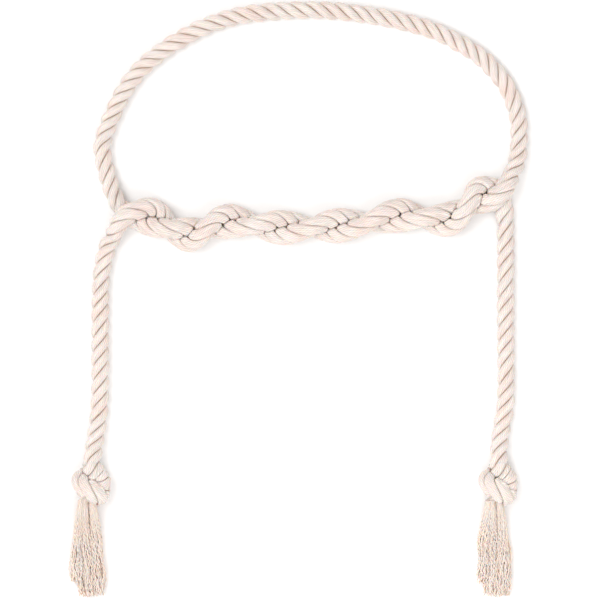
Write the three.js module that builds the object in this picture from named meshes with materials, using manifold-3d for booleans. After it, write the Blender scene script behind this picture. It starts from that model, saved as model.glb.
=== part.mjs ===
// Rope belt: one soft cotton rope laid flat. A loop goes round the waist, the two ends twist round each
// other across the front, and each tail ends in an overhand knot with a frayed tassel below it.
// Units are millimetres and +Z is up. The belt lies on z = 0, its tails point to -Y, and the origin is
// under the middle of the whole belt.
import * as THREE from 'three';
import { mergeVertices } from 'three/addons/utils/BufferGeometryUtils.js';
import Module from 'manifold-3d';

const wasm = await Module();
wasm.setup();

// Driving sizes
const ROPE = 12;              // diameter of the free rope
const PRESSED = 11.2;         // diameter of each run where the two press together
const KNOT_ROPE = 11.0;       // diameter of the rope pulled tight in a knot
const GAP = 0.3;              // clearance between neighbouring solids
const LOOP_WIDTH = 282;       // loop, between the rope's centres at its two sides
const LOOP_DEPTH = 145;       // loop, from the front line to the rope's centre at the back
const TAIL_LENGTH = 161;      // from the front line down to a knot
const TASSEL_LENGTH = 63;     // from a knot's end to the longest lock's tip
const TASSEL_WIDTH = 22;      // across the lock tips
const TASSEL_HEIGHT = 11;     // of the spread locks, lying down

// Place of the belt about its origin
const MIDDLE_X = 7.7;         // middle of the loop
const FRONT_Y = 50;           // front line

const NECK_LENGTH = 9;        // of the unfrayed rope end below a knot
const NECK_WIDTH = 13;

const ROPE_COLOUR = '#efe3d5';
const YARN_COLOUR = '#e6d6c4';

// Fineness of the solids
const SIDES = 12;
const KNOT_SIDES = 10;
const LOCK_SIDES = 8;
const LOOP_STEP = 8;
const TWIST_STEP = 5;
const KNOT_STEP = 3.5;

// Height of the centre of a rope that lies on the floor on one flat side
const LYING = ROPE / 2 * Math.cos(Math.PI / SIDES);
// Where the runs cross, each centre is this far above or below the middle height
const STACK = PRESSED / 2 + GAP;
const CROSSING_HEIGHT = PRESSED / 2 * Math.cos(Math.PI / SIDES) + STACK;

// Front twist. One row for each quarter turn: x along the front as a share of LOOP_WIDTH, y above the
// front line as a share of LOOP_DEPTH, and the two runs' distance apart as a share of the least.
const TWIST = [
  [-0.436, 0.057, 1.00],
  [-0.381, 0.040, 1.24],
  [-0.333, -0.017, 1.00],
  [-0.290, -0.043, 1.02],
  [-0.247, -0.012, 1.00],
  [-0.197, 0.019, 1.04],
  [-0.130, 0.001, 1.00],
  [-0.070, -0.010, 1.00],
  [0.004, -0.008, 1.00],
  [0.067, -0.001, 1.02],
  [0.140, 0.015, 1.00],
  [0.211, 0.047, 1.00],
  [0.271, 0.034, 1.00],
  [0.328, 0.027, 1.00],
  [0.376, 0.088, 1.00],
  [0.414, 0.145, 1.18],
  [0.455, 0.144, 1.00],
];
const POINTS_PER_QUARTER = 3;
const POINTS_OF_DIRECTION = 2;   // to each side of a point, which give the middle line's direction there

// Ways into and out of the twist, and the loop from its right end round the back to its left end.
// Each row: x as a share of LOOP_WIDTH, y as a share of LOOP_DEPTH, lift above LYING as a share of ROPE.
const LEFT_RISE = [
  [-0.471, -0.048, 0.22],
  [-0.459, 0.010, 0.75],
];
const RIGHT_FALL = [
  [0.470, 0.180, 0.80],
];
const LOOP = [
  [0.481, 0.236, 0.42],
  [0.496, 0.304, 0.12],
  [0.500, 0.397, 0.01],
  [0.497, 0.513, 0],
  [0.469, 0.652, 0],
  [0.441, 0.722, 0],
  [0.405, 0.789, 0],
  [0.357, 0.849, 0],
  [0.295, 0.908, 0],
  [0.214, 0.953, 0],
  [0.118, 0.987, 0],
  [0.023, 1.003, 0],
  [-0.073, 0.999, 0],
  [-0.168, 0.978, 0],
  [-0.243, 0.934, 0],
  [-0.315, 0.863, 0],
  [-0.369, 0.792, 0],
  [-0.410, 0.722, 0],
  [-0.445, 0.629, 0],
  [-0.474, 0.513, 0],
  [-0.493, 0.420, 0],
  [-0.499, 0.362, 0],
  [-0.495, 0.304, 0],
  [-0.484, 0.220, 0],
];
const LEFT_FALL = [
  [-0.470, 0.138, 0],
  [-0.455, 0.088, 0],
];
const RIGHT_EXIT = [
  [0.465, 0.094, 0],
];

// Tails from the twist down to their knots: x as a share of LOOP_WIDTH, y as a share of TAIL_LENGTH down
// from the front line, lift above LYING as a share of ROPE.
const LEFT_TAIL = [
  [-0.485, 0.086, 0.03],
  [-0.495, 0.153, 0],
  [-0.501, 0.229, 0],
  [-0.503, 0.355, 0],
  [-0.503, 0.500, 0],
  [-0.503, 0.647, 0],
  [-0.505, 0.764, 0],
  [-0.511, 0.856, 0.06],
  [-0.517, 0.925, 0.20],
];
const RIGHT_TAIL = [
  [0.467, -0.014, 0],
  [0.468, 0.103, 0],
  [0.468, 0.271, 0],
  [0.468, 0.438, 0],
  [0.469, 0.584, 0],
  [0.469, 0.689, 0],
  [0.466, 0.773, 0],
  [0.457, 0.865, 0.07],
  [0.452, 0.935, 0.22],
];
const LEFT_KNOT_X = -0.525;   // knot centres, as shares of LOOP_WIDTH
const RIGHT_KNOT_X = 0.448;

// The rope's way through a knot, from the tail to the frayed end, in shares of ROPE about the knot's
// centre. The rope goes down behind the front band, comes round the lower right corner, crosses the front
// up to the left, goes round the back and the right side, and leaves under its own front band.
const KNOT = [
  [0.09, 1.25, 0.02],
  [0.12, 0.92, 0.05],
  [0.09, 0.60, 0.02],
  [0.01, 0.30, -0.08],
  [0.02, 0.02, -0.24],
  [0.18, -0.22, -0.38],
  [0.42, -0.40, -0.36],
  [0.59, -0.51, -0.14],
  [0.58, -0.53, 0.14],
  [0.40, -0.44, 0.42],
  [0.12, -0.28, 0.58],
  [-0.20, -0.08, 0.60],
  [-0.49, 0.09, 0.46],
  [-0.62, 0.27, 0.20],
  [-0.62, 0.40, -0.08],
  [-0.48, 0.50, -0.34],
  [-0.16, 0.55, -0.49],
  [0.22, 0.56, -0.47],
  [0.57, 0.51, -0.28],
  [0.69, 0.33, 0.00],
  [0.56, 0.08, 0.17],
  [0.25, -0.19, 0.20],
  [-0.06, -0.46, 0.12],
  [-0.21, -0.74, 0.03],
  [-0.21, -1.00, 0.03],
];
const KNOT_HEIGHT = 0.95;    // height of a knot's centre above the floor, as a share of ROPE
const KNOT_SECTIONS = 6;      // stretches of a knot, each clear of itself, that are fused
const KNOT_LAP = 0.12;        // how far they run into each other, as a share of one

// Tassel locks. Each row: x and z at the root as shares of ROPE, x at the tip as a share of TASSEL_WIDTH,
// height of the tip as a share of TASSEL_HEIGHT, length as a share of TASSEL_LENGTH, and thickness as a
// share of TASSEL_WIDTH.
const LOCKS = [
  [-0.30, -0.18, -0.55, 0.28, 0.82, 0.26],
  [-0.15, -0.24, -0.27, 0.29, 0.93, 0.28],
  [0.02, -0.25, -0.07, 0.30, 0.99, 0.30],
  [0.18, -0.24, 0.14, 0.30, 0.99, 0.29],
  [0.30, -0.16, 0.33, 0.28, 0.95, 0.26],
  [-0.24, 0.14, -0.45, 0.68, 0.79, 0.27],
  [-0.08, 0.20, -0.20, 0.74, 0.95, 0.30],
  [0.09, 0.20, 0.04, 0.74, 1.00, 0.30],
  [0.24, 0.12, 0.25, 0.68, 0.97, 0.27],
];
const LOCK_OUTLINE = [0.82, 0.95, 1.00, 1.00, 0.95, 0.66];  // thickness from root to tip, as shares
const LOCK_SPREAD = 2.2;      // how soon the locks part below the neck
const TASSEL_LEAN = 0.10;     // sideways drift from root to tips, as a share of TASSEL_WIDTH

// A stretch of the rope's centre line, from one share of the whole route to another. Its section turns as
// little as it can along the way.
class Stretch extends THREE.Curve {
  constructor(route, from, to) {
    super();
    Object.assign(this, { route, from, to });
  }

  getPoint(t, target = new THREE.Vector3()) {
    return this.route.getPoint(THREE.MathUtils.lerp(this.from, this.to, t), target);
  }
}

// A stretch whose section stays upright, so that the rope's flat side faces the floor
class LyingStretch extends Stretch {
  computeFrenetFrames(segments) {
    const up = new THREE.Vector3(0, 0, 1);
    const tangents = [];
    const normals = [];
    const binormals = [];
    for (let i = 0; i <= segments; i++) {
      const tangent = this.getTangentAt(i / segments).normalize();
      const normal = up.clone().addScaledVector(tangent, -up.dot(tangent)).normalize();
      tangents.push(tangent);
      normals.push(normal);
      binormals.push(new THREE.Vector3().crossVectors(tangent, normal));
    }
    return { tangents, normals, binormals };
  }
}

// A regular polygon with one flat side facing -x
function ropeSection(diameter, sides) {
  const corners = [];
  for (let i = 0; i < sides; i++) {
    const angle = (i + 0.5) / sides * 2 * Math.PI;
    corners.push(new THREE.Vector2(Math.cos(angle), Math.sin(angle)).multiplyScalar(diameter / 2));
  }
  return new THREE.Shape(corners);
}

function ropeTube(stretch, diameter, sides, stepLength) {
  const steps = Math.max(2, Math.round(stretch.getLength() / stepLength));
  return new THREE.ExtrudeGeometry(ropeSection(diameter, sides), { extrudePath: stretch, steps });
}

function beltPoint([x, y, lift]) {
  return new THREE.Vector3(MIDDLE_X + x * LOOP_WIDTH, FRONT_Y + y * LOOP_DEPTH, LYING + lift * ROPE);
}

function tailPoint([x, y, lift]) {
  return new THREE.Vector3(MIDDLE_X + x * LOOP_WIDTH, FRONT_Y - y * TAIL_LENGTH, LYING + lift * ROPE);
}

// Centre of a knot, which sits with its first point at the foot of its tail
function knotCentre(x) {
  return new THREE.Vector3(MIDDLE_X + x * LOOP_WIDTH, FRONT_Y - TAIL_LENGTH - KNOT[0][1] * ROPE,
    KNOT_HEIGHT * ROPE);
}

function knotPoints(x) {
  const centre = knotCentre(x);
  return KNOT.map((row) => new THREE.Vector3(...row).multiplyScalar(ROPE).add(centre));
}

// The two runs of the front twist keep on opposite sides of a middle line through the rows of TWIST. The
// phase is a whole number of turns where the left run crosses on top.
function twistRuns() {
  const line = TWIST.map(([x, y]) => beltPoint([x, y, 0]));
  const middle = new THREE.CatmullRomCurve3(line, false, 'centripetal');
  const spread = new THREE.CatmullRomCurve3(TWIST.map(([, , apart], i) => new THREE.Vector3(i, apart, 0)));
  const count = (TWIST.length - 1) * POINTS_PER_QUARTER;
  const left = [];
  const right = [];
  for (let i = 0; i <= count; i++) {
    const t = i / count;
    const phase = i / POINTS_PER_QUARTER * Math.PI / 2;
    const behind = middle.getPoint(Math.max(0, i - POINTS_OF_DIRECTION) / count);
    const along = middle.getPoint(Math.min(count, i + POINTS_OF_DIRECTION) / count).sub(behind);
    const side = new THREE.Vector3(-along.y, along.x, 0).normalize();
    const reach = spread.getPoint(t).y * STACK * Math.sin(phase);
    const offset = side.multiplyScalar(reach).setZ(STACK * Math.cos(phase));
    const centre = middle.getPoint(t).setZ(CROSSING_HEIGHT);
    left.push(centre.clone().add(offset));
    right.push(centre.clone().sub(offset));
  }
  return { left, right };
}

// The whole rope in one line, from the left frayed end to the right one, and where each piece starts
function ropeRoute() {
  const runs = twistRuns();
  const stretches = {
    left_knot: knotPoints(LEFT_KNOT_X).reverse(),
    left_tail: LEFT_TAIL.map(tailPoint).reverse(),
    front_run_left: [...LEFT_RISE.map(beltPoint), ...runs.left, ...RIGHT_FALL.map(beltPoint)],
    waist_loop: LOOP.map(beltPoint),
    front_run_right: [...LEFT_FALL.map(beltPoint), ...runs.right, ...RIGHT_EXIT.map(beltPoint)],
    right_tail: RIGHT_TAIL.map(tailPoint),
    right_knot: knotPoints(RIGHT_KNOT_X),
  };
  const points = [];
  const starts = {};
  for (const [name, list] of Object.entries(stretches)) {
    starts[name] = points.length;
    points.push(...list);
  }
  const curve = new THREE.CatmullRomCurve3(points, false, 'centripetal');
  return { curve, starts, last: points.length - 1 };
}

const route = ropeRoute();

// From one point of the route to another, by their places in the list, less half a gap at each end
function stretchBetween(Kind, first, last) {
  const whole = new Kind(route.curve, first / route.last, last / route.last);
  const trim = GAP / 2 / whole.getLength();
  const from = THREE.MathUtils.lerp(whole.from, whole.to, whole.getUtoTmapping(trim));
  const to = THREE.MathUtils.lerp(whole.from, whole.to, whole.getUtoTmapping(1 - trim));
  return new Kind(route.curve, from, to);
}

function solidOf(geometry) {
  const bare = geometry.clone();
  bare.deleteAttribute('normal');
  bare.deleteAttribute('uv');
  const welded = mergeVertices(bare);
  return new wasm.Manifold(new wasm.Mesh({
    numProp: 3,
    vertProperties: new Float32Array(welded.getAttribute('position').array),
    triVerts: new Uint32Array(welded.getIndex().array),
  }));
}

function geometryOf(solid) {
  const { vertProperties, triVerts } = solid.getMesh();
  const geometry = new THREE.BufferGeometry();
  geometry.setAttribute('position', new THREE.BufferAttribute(vertProperties, 3));
  geometry.setIndex(new THREE.BufferAttribute(triVerts, 1));
  return geometry;
}

// One closed body from overlapping geometries, with no hollow left between them
function fuse(geometries) {
  const whole = geometries.map(solidOf).reduce((sum, solid) => sum.add(solid));
  const shells = whole.decompose().sort((a, b) => b.volume() - a.volume());
  return geometryOf(shells[0]);
}

// A knot's rope passes close by itself, so it is made in short stretches that run into each other
function knotGeometry(first, last) {
  const whole = stretchBetween(Stretch, first, last);
  const share = (whole.to - whole.from) / KNOT_SECTIONS;
  const sections = [];
  for (let i = 0; i < KNOT_SECTIONS; i++) {
    const from = whole.from + share * Math.max(0, i - KNOT_LAP);
    const to = whole.from + share * Math.min(KNOT_SECTIONS, i + 1 + KNOT_LAP);
    sections.push(ropeTube(new Stretch(route.curve, from, to), KNOT_ROPE, KNOT_SIDES, KNOT_STEP));
  }
  return fuse(sections);
}

// One lock of frayed yarn: a round bar that bends from its root in the neck out to its tip
function lockGeometry([rootX, rootZ, tipX, tipHeight, length, thickness], root) {
  const reach = length * TASSEL_LENGTH;
  const start = new THREE.Vector3(rootX, 0, rootZ).multiplyScalar(ROPE).add(root);
  const end = new THREE.Vector3(root.x + (tipX + TASSEL_LEAN) * TASSEL_WIDTH, root.y - reach,
    tipHeight * TASSEL_HEIGHT);
  const bands = LOCK_OUTLINE.length - 1;
  const bar = new THREE.CylinderGeometry(1, 1, 1, LOCK_SIDES, bands);
  const corners = bar.getAttribute('position');
  for (let i = 0; i < corners.count; i++) {
    const t = 0.5 - corners.getY(i);
    const spread = 1 - (1 - t) ** LOCK_SPREAD;
    const radius = LOCK_OUTLINE[Math.round(t * bands)] * thickness * TASSEL_WIDTH / 2;
    corners.setXYZ(i,
      THREE.MathUtils.lerp(start.x, end.x, spread) + corners.getX(i) * radius,
      start.y - t * reach,
      THREE.MathUtils.lerp(start.z, end.z, spread) + corners.getZ(i) * radius);
  }
  return bar;
}

// The rope end below a knot: a short round neck, then the locks that spread from it onto the floor
function tasselGeometry(rope) {
  const root = route.curve.getPoint(rope / route.last);
  root.y -= GAP;
  const neck = new THREE.CylinderGeometry(KNOT_ROPE / 2, KNOT_ROPE / 2, NECK_LENGTH, SIDES);
  neck.scale(NECK_WIDTH / KNOT_ROPE, 1, 1);
  neck.translate(root.x, root.y - NECK_LENGTH / 2, root.z);
  return fuse([neck, ...LOCKS.map((row) => lockGeometry(row, root))]);
}

function piece(name, geometry, color = ROPE_COLOUR) {
  const mesh = new THREE.Mesh(geometry, new THREE.MeshStandardMaterial({
    color, roughness: 0.95, metalness: 0,
  }));
  mesh.name = name;
  return mesh;
}

function ropePiece(name, first, last, diameter, step) {
  return piece(name, ropeTube(stretchBetween(LyingStretch, first, last), diameter, SIDES, step));
}

const belt = new THREE.Group();
const { starts, last } = route;
const leftKnotEnd = starts.left_tail - 1;
belt.add(
  ropePiece('waist_loop', starts.waist_loop, starts.front_run_right, ROPE, LOOP_STEP),
  ropePiece('front_run_left', starts.front_run_left, starts.waist_loop, PRESSED, TWIST_STEP),
  ropePiece('front_run_right', starts.front_run_right, starts.right_tail, PRESSED, TWIST_STEP),
  ropePiece('left_tail', leftKnotEnd, starts.front_run_left, ROPE, LOOP_STEP),
  ropePiece('right_tail', starts.right_tail, starts.right_knot, ROPE, LOOP_STEP),
  piece('left_knot', knotGeometry(0, leftKnotEnd)),
  piece('right_knot', knotGeometry(starts.right_knot, last)),
  piece('left_tassel', tasselGeometry(0), YARN_COLOUR),
  piece('right_tassel', tasselGeometry(last), YARN_COLOUR),
);

export default belt;
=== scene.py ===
"""Rope belt: the looks of one soft laid cotton rope, lying flat as a waist loop with a twisted front,
two tails, overhand knots and frayed tassels. Units are metres and +Z is up."""

import math

import bmesh
import bpy
import numpy as np
from bpy.props import FloatProperty, FloatVectorProperty, IntProperty, PointerProperty
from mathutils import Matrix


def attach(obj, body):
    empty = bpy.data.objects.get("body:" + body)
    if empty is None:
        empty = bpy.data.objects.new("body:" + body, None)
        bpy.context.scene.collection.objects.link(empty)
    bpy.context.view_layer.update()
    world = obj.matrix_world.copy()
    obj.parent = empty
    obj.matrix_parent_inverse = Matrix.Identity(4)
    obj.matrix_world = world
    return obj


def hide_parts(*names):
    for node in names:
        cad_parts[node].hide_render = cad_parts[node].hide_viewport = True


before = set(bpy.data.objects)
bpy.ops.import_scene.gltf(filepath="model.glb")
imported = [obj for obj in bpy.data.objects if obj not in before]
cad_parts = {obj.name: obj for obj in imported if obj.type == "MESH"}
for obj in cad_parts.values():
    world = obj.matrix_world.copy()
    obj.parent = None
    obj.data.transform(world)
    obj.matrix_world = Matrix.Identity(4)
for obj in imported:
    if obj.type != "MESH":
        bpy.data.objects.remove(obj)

bl_info = {
    "name": "Rope Belt",
    "version": (1, 0, 0),
    "blender": (4, 5, 0),
    "location": "3D View > Sidebar > Rope Belt",
    "description": "Builds a laid cotton rope belt with knots and frayed tassels",
    "category": "Object",
}

# The route of the rope, as the solids of the frame follow it
ROPE = 0.012
PRESSED = 0.0112
GAP = 0.0003
LOOP_WIDTH = 0.282
LOOP_DEPTH = 0.145
TAIL_LENGTH = 0.161
MIDDLE_X = 0.0077
FRONT_Y = 0.050
FLAT = math.cos(math.pi / 12)
LYING = ROPE / 2 * FLAT
STACK = PRESSED / 2 + GAP
CROSSING_HEIGHT = PRESSED / 2 * FLAT + STACK

# Front twist, a row for each quarter turn: x as a share of LOOP_WIDTH, y above the front line as a share of
# LOOP_DEPTH, and the runs' distance apart as a share of the least
TWIST = [
    (-0.436, 0.057, 1.00),
    (-0.381, 0.040, 1.24),
    (-0.333, -0.017, 1.00),
    (-0.290, -0.043, 1.02),
    (-0.247, -0.012, 1.00),
    (-0.197, 0.019, 1.04),
    (-0.130, 0.001, 1.00),
    (-0.070, -0.010, 1.00),
    (0.004, -0.008, 1.00),
    (0.067, -0.001, 1.02),
    (0.140, 0.015, 1.00),
    (0.211, 0.047, 1.00),
    (0.271, 0.034, 1.00),
    (0.328, 0.027, 1.00),
    (0.376, 0.088, 1.00),
    (0.414, 0.145, 1.18),
    (0.455, 0.144, 1.00),
]
POINTS_PER_QUARTER = 3
STEPS_PER_POINT = 8
POINTS_OF_DIRECTION = 2   # to each side of a point, which give the middle line's direction there

# Ways into and out of the twist, and the loop from its right end round the back to its left end: x as a
# share of LOOP_WIDTH, y as a share of LOOP_DEPTH, lift above LYING as a share of ROPE
LEFT_RISE = [(-0.471, -0.048, 0.22), (-0.459, 0.010, 0.75)]
RIGHT_FALL = [(0.470, 0.180, 0.80)]
LOOP = [
    (0.481, 0.236, 0.42),
    (0.496, 0.304, 0.12),
    (0.500, 0.397, 0.01),
    (0.497, 0.513, 0),
    (0.469, 0.652, 0),
    (0.441, 0.722, 0),
    (0.405, 0.789, 0),
    (0.357, 0.849, 0),
    (0.295, 0.908, 0),
    (0.214, 0.953, 0),
    (0.118, 0.987, 0),
    (0.023, 1.003, 0),
    (-0.073, 0.999, 0),
    (-0.168, 0.978, 0),
    (-0.243, 0.934, 0),
    (-0.315, 0.863, 0),
    (-0.369, 0.792, 0),
    (-0.410, 0.722, 0),
    (-0.445, 0.629, 0),
    (-0.474, 0.513, 0),
    (-0.493, 0.420, 0),
    (-0.499, 0.362, 0),
    (-0.495, 0.304, 0),
    (-0.484, 0.220, 0),
]
LEFT_FALL = [(-0.470, 0.138, 0), (-0.455, 0.088, 0)]
RIGHT_EXIT = [(0.465, 0.094, 0)]

# Tails down to their knots: x as a share of LOOP_WIDTH, y as a share of TAIL_LENGTH below the front line,
# lift above LYING as a share of ROPE
LEFT_TAIL = [
    (-0.485, 0.086, 0.03),
    (-0.495, 0.153, 0),
    (-0.501, 0.229, 0),
    (-0.503, 0.355, 0),
    (-0.503, 0.500, 0),
    (-0.503, 0.647, 0),
    (-0.505, 0.764, 0),
    (-0.511, 0.856, 0.06),
    (-0.517, 0.925, 0.20),
]
RIGHT_TAIL = [
    (0.467, -0.014, 0),
    (0.468, 0.103, 0),
    (0.468, 0.271, 0),
    (0.468, 0.438, 0),
    (0.469, 0.584, 0),
    (0.469, 0.689, 0),
    (0.466, 0.773, 0),
    (0.457, 0.865, 0.07),
    (0.452, 0.935, 0.22),
]
KNOT_X = {"left": -0.525, "right": 0.448}

# The rope's way through a knot, from the tail to the frayed end, in shares of ROPE about the knot's centre
KNOT = [
    (0.09, 1.25, 0.02),
    (0.12, 0.92, 0.05),
    (0.09, 0.60, 0.02),
    (0.01, 0.30, -0.08),
    (0.02, 0.02, -0.24),
    (0.18, -0.22, -0.38),
    (0.42, -0.40, -0.36),
    (0.59, -0.51, -0.14),
    (0.58, -0.53, 0.14),
    (0.40, -0.44, 0.42),
    (0.12, -0.28, 0.58),
    (-0.20, -0.08, 0.60),
    (-0.49, 0.09, 0.46),
    (-0.62, 0.27, 0.20),
    (-0.62, 0.40, -0.08),
    (-0.48, 0.50, -0.34),
    (-0.16, 0.55, -0.49),
    (0.22, 0.56, -0.47),
    (0.57, 0.51, -0.28),
    (0.69, 0.33, 0.00),
    (0.56, 0.08, 0.17),
    (0.25, -0.19, 0.20),
    (-0.06, -0.46, 0.12),
    (-0.21, -0.74, 0.03),
    (-0.21, -1.00, 0.03),
]
KNOT_HEIGHT = 0.95        # a knot's centre above the floor, as a share of ROPE
STEPS_PER_SPAN = 24
SOFT_BEND = 0.0022        # length over which the rope's own stiffness rounds its bends
SOFT_KNOT = 0.0014        # the same in a knot
FIXED_END = 1e-6          # the same at the rope's two ends, which stay in their places
EASE = 0.012              # length over which the rope eases from held tight to free
FRAY_DEPTH = 0.0075       # how far inside a knot the rope's end comes undone
FRAY_OVERLAP = 0.002      # how far the laid rope reaches past the place where it comes undone
STRANDS = 3

# A strand's section, as shares of the rope's radius: a third of the circle with a round crown, whose centre
# is further out where the rope is free, and round corners
FREE_CROWN, FREE_CORNER = 0.45, 0.10
TIGHT_CROWN, TIGHT_CORNER = 0.0, 0.33
HALF_THIRD = math.radians(59.4)
TIP = 0.03
CROWN_POINTS, CORNER_POINTS = 24, 40
SECTION_MIDDLE = 0.5      # where a strand's yarn relief has its centre
POINTS_PER_YARN = 4
YARN_BACK_TURN = 0.95     # turns of the yarns in a strand for each turn of the strand in the rope
YARN_SPACE = 0.003        # radius on which the yarns of a strand are spread for their texture
STRAND_SPACE = 0.1        # how far apart the strands are for their texture

# Unevenness of the rope: slow waves of three lengths, each shifted by the seed
SWAY_LENGTHS = (0.031, 0.047, 0.083)
SWAY_SHIFT = 2.1
SWAY_PEAK = 2.2
LAY_SWAY = 0.10           # of the lay, in radians
LAY_SEED = 1
STRAND_SWAY = 0.018       # of a strand, as a share of the rope's radius
STRAND_SEEDS = (5, 8, 11)
LAY_EASE = 0.020          # length over which the lay opens at the ends of the twist

# Where painted shade darkens the grooves between the strands, as shares of the rope's radius from its centre
# line
GROOVE_SHADE_TOP = 0.77
GROOVE_SHADE_BOTTOM = 0.58
TIGHT_GROOVE_SHADE = 0.62       # how dark the painted shade is in grooves held tight, as a share of free ones

# How stretches of the rope press on each other and on the floor
NEAR = 0.017              # centre lines closer than this touch
OWN_REACH = 0.004         # places this close along the rope are the same stretch
OTHER_REACH = 0.018       # places further than this along the rope are another stretch
CONTACT_GAP = 0.00004
SPREAD = 0.27             # how far a pressed rope swells beside its contact, as a share of its radius
SPREAD_END = 0.60         # how soon the swell dies away from there, as a share of the radius
CONTACT_SHADE_WIDTH = 0.22             # width of the painted shade beside a contact, as a share of the radius
CONTACT_SHADE_DEPTH = 0.35       # how dark that painted shade is, as a share of the darkest painted shade in the grooves
FLOOR_GAP = 0.00005
TINY = 1e-9

# The three strands of a frayed end from left to right: centre across the tassel and half width near the
# knot and at the tips, as shares of its width, and the least and greatest length of their yarns as shares
# of its length
FRAYED_STRANDS = [
    (-0.30, 0.20, -0.32, 0.18, 0.76, 0.86),
    (-0.10, 0.18, -0.02, 0.25, 0.89, 1.00),
    (0.30, 0.19, 0.29, 0.21, 0.88, 0.99),
]
STRAND_MIDDLE = 0.50      # a laid strand's centre and reach, as shares of the rope's radius
STRAND_REACH = 0.44
FRAYED_NECK = 0.57        # width at the knot, as a share of the width at the tips
FRAYED_EASE = 0.016       # length over which the yarns spread
FRAYED_HEIGHT = 0.0108
FRAYED_FILL = 0.84        # how much of that height the yarns' centres take up
UNDONE = 0.004            # length inside the knot over which a yarn leaves the laid rope
UNLAY = 0.004             # length below the knot over which the strands stop turning
SPIN = 1.3                # how far a freed strand turns down to its tips, in radians
YARN_CURL = 0.5           # turns of a yarn in its strand for each turn of the strand
YARN_SIDES = 5
YARN_STEP = 0.0007        # length of one face along a crimped yarn
CORE = 0.5                # share of a strand's radius in which the faces are twice as long
STRAIGHT_STEP = 0.0015    # the same inside the knot and just below it, where a yarn has no crimp
STRAIGHT_LENGTH = 0.009
YARN_SIZES = (0.92, 1.08)
YARN_TAPER = 0.0015       # length over which a yarn thins at its tip
YARN_TIP = 0.45           # its size there, as a share of its diameter
INNER_YARN_SHADE_POWER = 0.7      # power by which painted shade darkens the yarns towards the middle of their strand

# How a freed yarn lies. Starts and lengths are shares of the tassel's length, angles are in radians
FALL_START, FALL_LENGTH = 0.15, 0.35
CRIMP_EASE = 0.18
CRIMP_LENGTH = 0.0040     # length of one wave
CRIMP_PACES = (0.8, 1.3)  # range of the waves' length, as shares of it
CRIMP_SIZES = (0.6, 1.25)
CRIMP_RISE = 0.6          # height of the waves, as a share of their width
CRIMP_SHIFT = 1.6         # how far the waves get ahead or behind
CRIMP_SHIFT_TURN = 9      # and how fast that changes, for the whole length
STRAY = 0.0024            # how far a yarn can stray sideways at its tip
STRAY_TURN = 4.5
CROSSING = 0.0009         # how far the yarns wave across each other
CROSSING_LENGTH = 0.027
CROSSING_START, CROSSING_EASE = 0.2, 0.3
WANDER = 3                # how far chance shifts a yarn's slow waves

# The cotton's patterns: repeats in a metre along the yarn and across it, detail and roughness
FIBRE = ((260, 2600, 2600), 4.0, 0.6)
SLUB = ((90, 700, 700), 2.0, 0.5)
PATCH = ((75, 75, 75), 3.0, 0.55)
# What they and the plies do to the colour and the gloss: a range of their values, and the range it becomes
PATCH_BLUSH = ((0.42, 0.68), (0.0, 0.8))
FIBRE_SHADE = ((0.3, 0.7), (0.84, 1.05))
SLUB_SHADE = ((0.3, 0.7), (0.90, 1.04))
# The plies' darkening is painted shade in the hollows between them
PLY_SHADE = ((-1.0, 0.2), (0.87, 1.0))
FIBRE_ROUGHNESS = ((0.0, 1.0), (0.82, 0.98))
VALLEY_SHADE_TOP = 0.75         # height on a yarn where the painted shade in the line between yarns ends
# Power on the share of painted shade in the grooves between the strands
GROOVE_SHADE_POWER = 1.6
FIBRE_RELIEF, PLY_RELIEF = 0.7, 0.35
BUMP_STRENGTH, BUMP_DEPTH = 0.8, 0.00025
COTTON_SHADER = {
    "Subsurface Weight": 0.45,
    "Subsurface Radius": (1.0, 0.5, 0.3),
    "Subsurface Scale": 0.0018,
    "Specular IOR Level": 0.15,
    "Sheen Weight": 0.12,
    "Sheen Roughness": 0.5,
    "Sheen Tint": (1.0, 0.94, 0.88, 1.0),
}
FRAYED_BLUSH = (1.0, 0.95, 0.92)    # the freed yarns' warmer patches, as shares of their colour

# The stage: each light's power, width and place
LIGHTS = {
    "key": (153.0, 4.0, (-2.4, 0.8, 5.0)),
    "fill": (5.2, 0.8, (0.25, -0.65, 1.0)),
}
SKY_COLOUR = (1.0, 0.985, 0.97, 1)
SKY_STRENGTH = 0.76
FLOOR_SIZE = 4
FLOOR_SHADER = {"Roughness": 0.9, "Specular IOR Level": 0.1}
CAMERA_HEIGHT = 3.0
CAMERA_REACH = 30
SENSOR_WIDTH = 36
PHOTO_WIDTH = 0.4044      # width of the view at the height of the rope's crowns
PHOTO_CENTRE = (0.0007, -0.0003)


class BELT_PG_rope(bpy.types.PropertyGroup):
    """Sizes of the laid rope"""

    free: FloatProperty(
        name="Free diameter", description="Across the crowns of the strands", default=0.0125, unit="LENGTH")
    pressed: FloatProperty(
        name="Pressed diameter", description="Where the runs press on each other", default=0.0119,
        unit="LENGTH")
    knotted: FloatProperty(
        name="Knotted diameter", description="Pulled tight in a knot", default=0.0117, unit="LENGTH")
    lay: FloatProperty(
        name="Lay", description="Length of one turn of a strand", default=0.0292, unit="LENGTH")
    opened: FloatProperty(
        name="Opened", description="Turns that the front twist takes out of each run's lay", default=2.0)
    yarns: IntProperty(name="Yarns", description="Yarns that show round one strand", default=14)
    yarn_relief: FloatProperty(
        name="Yarn relief", description="Depth between yarns, as a share of a strand", default=0.055)
    step: FloatProperty(
        name="Step", description="Length of one face along the rope", default=0.00125, unit="LENGTH")


class BELT_PG_tassel(bpy.types.PropertyGroup):
    """Sizes of the frayed ends"""

    length: FloatProperty(
        name="Length", description="From the knot to the longest tips", default=0.0632, unit="LENGTH")
    width: FloatProperty(name="Width", description="Across the tips", default=0.0213, unit="LENGTH")
    yarn: FloatProperty(name="Yarn", description="Diameter of one yarn", default=0.0009, unit="LENGTH")
    yarns: IntProperty(name="Yarns", description="Yarns of one strand", default=90)
    crimp: FloatProperty(
        name="Crimp", description="Sideways wave of a freed yarn", default=0.00033, unit="LENGTH")
    seed: IntProperty(name="Seed", description="Picks the fall of the yarns", default=7)


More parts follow.
